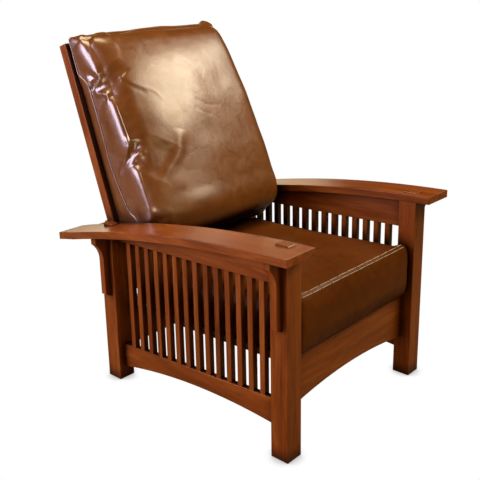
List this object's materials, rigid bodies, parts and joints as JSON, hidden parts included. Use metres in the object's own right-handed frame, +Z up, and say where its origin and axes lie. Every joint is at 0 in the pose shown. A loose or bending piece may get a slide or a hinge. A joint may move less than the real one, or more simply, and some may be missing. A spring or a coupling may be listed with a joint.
{
  "type": "mission reclining armchair",
  "caption": "Mission reclining armchair with bowed arms on corbels, spindle sides, a drop-in seat, a tilting ladder back held by pegs, and loose leather cushions.",
  "frame": {"origin": "on the floor, below the middle of the whole chair's box", "axes": "+Z up; the sitter faces -Y; +X is to the sitter's left"},
  "size_m": [0.822, 1.0542, 1.1512],
  "materials": {
    "stained_wood": "reddish brown stain under satin lacquer, straight grain",
    "inner_wood": "planed wood under a thin brown stain",
    "leather": "glossy pebbled brown leather with soft creases",
    "cushion_core": "foam wrapped in wadding",
    "steel": "plain steel",
    "brass": "plain brass"
  },
  "bodies": {
    "root": {"arm_left": "stained_wood", "arm_right": "stained_wood", "cleat_screws": "steel", "corbel_dowels": "inner_wood", "front_corbel_left": "stained_wood", "front_corbel_right": "stained_wood", "front_leg_left": "stained_wood", "front_leg_right": "stained_wood", "front_seat_cleat": "inner_wood", "front_seat_rail": "stained_wood", "pivot_bolts": "steel", "pivot_washers": "brass", "rear_corbel_left": "stained_wood", "rear_corbel_right": "stained_wood", "rear_leg_left": "stained_wood", "rear_leg_right": "stained_wood", "rear_seat_cleat": "inner_wood", "rear_seat_rail": "stained_wood", "seat_cushion_core": "cushion_core", "seat_cushion_cover": "leather", "seat_frame_dowels": "inner_wood", "seat_frame_front": "inner_wood", "seat_frame_left": "inner_wood", "seat_frame_rear": "inner_wood", "seat_frame_right": "inner_wood", "seat_slats": "inner_wood", "side_lower_rail_left": "stained_wood", "side_lower_rail_right": "stained_wood", "side_spindles_left": "stained_wood", "side_spindles_right": "stained_wood", "side_upper_rail_left": "stained_wood", "side_upper_rail_right": "stained_wood"},
    "back": {"back_stile_left": "stained_wood", "back_stile_right": "stained_wood", "back_crest_rail": "stained_wood", "back_lower_rail": "stained_wood", "back_slats": "stained_wood", "back_cushion_cover": "leather", "back_cushion_core": "cushion_core"},
    "peg_left": {"recline_peg_left": "stained_wood"},
    "peg_right": {"recline_peg_right": "stained_wood"}
  },
  "joints": [
    {"name": "back_recline", "type": "hinge", "parent": "root", "child": "back", "pos_m": [0, 0.25462, 0.34201], "axis": [-1, 0, 0], "range_deg": [0, 22.5]},
    {"name": "peg_pull_left", "type": "slide", "parent": "root", "child": "peg_left", "axis": [-1, 0, 0], "range_m": [0, 0.045]},
    {"name": "peg_pull_right", "type": "slide", "parent": "root", "child": "peg_right", "axis": [1, 0, 0], "range_m": [0, 0.045]}
  ]
}
